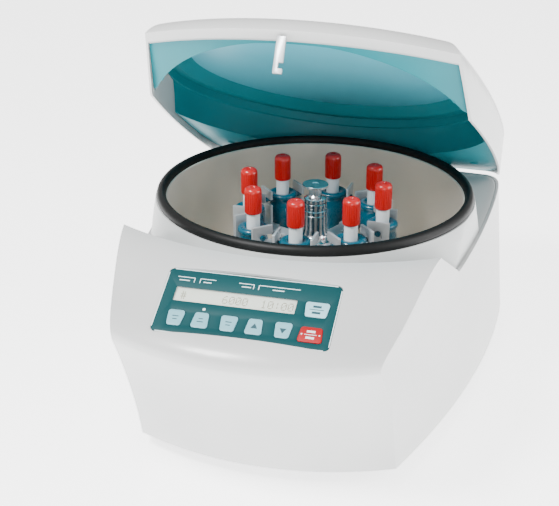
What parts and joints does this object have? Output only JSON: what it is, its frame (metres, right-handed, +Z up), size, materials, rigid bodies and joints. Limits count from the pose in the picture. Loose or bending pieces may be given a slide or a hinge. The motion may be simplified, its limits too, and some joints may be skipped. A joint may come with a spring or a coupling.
{
  "type": "laboratory centrifuge",
  "caption": "Bench-top laboratory centrifuge with a round steel bowl, swing-out tube rotor, sloping key panel and a rear-hinged lid, shown open.",
  "frame": {"origin": "on the rotor axis at the level of the bench, under the feet", "axes": "+Z up, along the rotor axis; -Y towards the front panel; +X to the right as seen from the front"},
  "size_m": [0.366, 0.5118, 0.3882],
  "materials": {
    "housing_white": "smooth satin moulding",
    "deck_white": "fine satin",
    "base_steel": "powder coated",
    "foot_rubber": "matt",
    "bowl_steel": "brushed",
    "gasket_rubber": "satin",
    "motor_grey": "painted",
    "plate_steel": "plain",
    "shaft_steel": "ground",
    "hub_steel": "turned",
    "bucket_teal": "hard coated",
    "tube_white": "moulded",
    "cap_red": "glossy",
    "foil_teal": "printed polyester film",
    "window_clear": "clear",
    "lcd_grey": "display",
    "board_green": "lacquered",
    "inlet_black": "moulded",
    "key_pale": "film",
    "key_red": "film",
    "lid_white": "smooth satin moulding",
    "liner_teal": "fine texture",
    "hinge_teal": "fine texture",
    "pin_steel": "ground",
    "lock_case_black": "moulded"
  },
  "bodies": {
    "base": {"housing": "housing_white", "base_plate": "base_steel", "rubber_feet": "foot_rubber", "top_deck": "deck_white", "bowl": "bowl_steel", "bowl_gasket": "gasket_rubber", "motor_stator": "motor_grey", "motor_mount": "plate_steel", "damper_mounts": "foot_rubber", "shaft_seal": "foot_rubber", "panel_foil": "foil_teal", "display_window": "window_clear", "lcd_module": "lcd_grey", "keypad_board": "board_green", "control_board": "board_green", "mains_inlet": "inlet_black", "lid_lock_case": "lock_case_black", "hinge_brackets": "hinge_teal"},
    "lid": {"lid_shell": "lid_white", "lid_liner": "liner_teal", "lid_disc": "liner_teal", "hinge_pins": "pin_steel", "lid_striker": "plate_steel"},
    "rotor": {"motor_shaft": "shaft_steel", "rotor_hub": "hub_steel", "rotor_arms": "hub_steel"},
    "nut": {"rotor_nut": "hub_steel"},
    "lock_bolt": {"lid_lock_hook": "pin_steel"},
    "rocker": {"power_rocker": "inlet_black"},
    "key_1_cap": {"key_1": "key_pale"},
    "key_2_cap": {"key_2": "key_pale"},
    "key_3_cap": {"key_3": "key_pale"},
    "key_4_cap": {"key_4": "key_pale"},
    "key_5_cap": {"key_5": "key_pale"},
    "key_start_cap": {"key_start": "key_pale"},
    "key_stop_cap": {"key_stop": "key_red"},
    "hanger_1": {"bucket_1": "bucket_teal", "sample_tube_1": "tube_white", "tube_cap_1": "cap_red"},
    "hanger_2": {"bucket_2": "bucket_teal", "sample_tube_2": "tube_white", "tube_cap_2": "cap_red"},
    "hanger_3": {"bucket_3": "bucket_teal", "sample_tube_3": "tube_white", "tube_cap_3": "cap_red"},
    "hanger_4": {"bucket_4": "bucket_teal", "sample_tube_4": "tube_white", "tube_cap_4": "cap_red"},
    "hanger_5": {"bucket_5": "bucket_teal", "sample_tube_5": "tube_white", "tube_cap_5": "cap_red"},
    "hanger_6": {"bucket_6": "bucket_teal", "sample_tube_6": "tube_white", "tube_cap_6": "cap_red"},
    "hanger_7": {"bucket_7": "bucket_teal", "sample_tube_7": "tube_white", "tube_cap_7": "cap_red"},
    "hanger_8": {"bucket_8": "bucket_teal", "sample_tube_8": "tube_white", "tube_cap_8": "cap_red"}
  },
  "joints": [
    {"name": "lid_hinge", "type": "hinge", "parent": "base", "child": "lid", "pos_m": [0, 0.192, 0.174], "axis": [1, 0, 0], "range_deg": [0, 30]},
    {"name": "rotor_spin", "type": "hinge", "parent": "base", "child": "rotor", "pos_m": [0, 0, 0.15], "axis": [0, 0, 1], "continuous": true},
    {"name": "nut_turn", "type": "hinge", "parent": "rotor", "child": "nut", "pos_m": [0, 0, 0.19], "axis": [0, 0, 1], "continuous": true},
    {"name": "lock_bolt_slide", "type": "slide", "parent": "base", "child": "lock_bolt", "axis": [-1, 0, 0], "range_m": [0, 0.006]},
    {"name": "rocker_tilt", "type": "hinge", "parent": "base", "child": "rocker", "pos_m": [0.07, 0.199, 0.074], "axis": [1, 0, 0], "range_deg": [0, 14]},
    {"name": "key_1_press", "type": "slide", "parent": "base", "child": "key_1_cap", "axis": [0, 0.4741, -0.8805], "range_m": [0, 0.0005], "stiffness_N_per_m": 400},
    {"name": "key_2_press", "type": "slide", "parent": "base", "child": "key_2_cap", "axis": [0, 0.4741, -0.8805], "range_m": [0, 0.0005], "stiffness_N_per_m": 400},
    {"name": "key_3_press", "type": "slide", "parent": "base", "child": "key_3_cap", "axis": [0, 0.4741, -0.8805], "range_m": [0, 0.0005], "stiffness_N_per_m": 400},
    {"name": "key_4_press", "type": "slide", "parent": "base", "child": "key_4_cap", "axis": [0, 0.4741, -0.8805], "range_m": [0, 0.0005], "stiffness_N_per_m": 400},
    {"name": "key_5_press", "type": "slide", "parent": "base", "child": "key_5_cap", "axis": [0, 0.4741, -0.8805], "range_m": [0, 0.0005], "stiffness_N_per_m": 400},
    {"name": "key_start_press", "type": "slide", "parent": "base", "child": "key_start_cap", "axis": [0, 0.4741, -0.8805], "range_m": [0, 0.0005], "stiffness_N_per_m": 400},
    {"name": "key_stop_press", "type": "slide", "parent": "base", "child": "key_stop_cap", "axis": [0, 0.4741, -0.8805], "range_m": [0, 0.0005], "stiffness_N_per_m": 400},
    {"name": "hanger_1_swing", "type": "hinge", "parent": "rotor", "child": "hanger_1", "pos_m": [-0.0467, 0.05079, 0.169], "axis": [0.7361, 0.6769, 0], "range_deg": [0, 90]},
    {"name": "hanger_2_swing", "type": "hinge", "parent": "rotor", "child": "hanger_2", "pos_m": [0.00289, 0.06894, 0.169], "axis": [0.9991, -0.0419, 0], "range_deg": [0, 90]},
    {"name": "hanger_3_swing", "type": "hinge", "parent": "rotor", "child": "hanger_3", "pos_m": [0.05079, 0.0467, 0.169], "axis": [0.6769, -0.7361, 0], "range_deg": [0, 90]},
    {"name": "hanger_4_swing", "type": "hinge", "parent": "rotor", "child": "hanger_4", "pos_m": [0.06894, -0.00289, 0.169], "axis": [-0.0419, -0.9991, 0], "range_deg": [0, 90]},
    {"name": "hanger_5_swing", "type": "hinge", "parent": "rotor", "child": "hanger_5", "pos_m": [0.0467, -0.05079, 0.169], "axis": [-0.7361, -0.6769, 0], "range_deg": [0, 90]},
    {"name": "hanger_6_swing", "type": "hinge", "parent": "rotor", "child": "hanger_6", "pos_m": [-0.00289, -0.06894, 0.169], "axis": [-0.9991, 0.0419, 0], "range_deg": [0, 90]},
    {"name": "hanger_7_swing", "type": "hinge", "parent": "rotor", "child": "hanger_7", "pos_m": [-0.05079, -0.0467, 0.169], "axis": [-0.6769, 0.7361, 0], "range_deg": [0, 90]},
    {"name": "hanger_8_swing", "type": "hinge", "parent": "rotor", "child": "hanger_8", "pos_m": [-0.06894, 0.00289, 0.169], "axis": [0.0419, 0.9991, 0], "range_deg": [0, 90]}
  ]
}
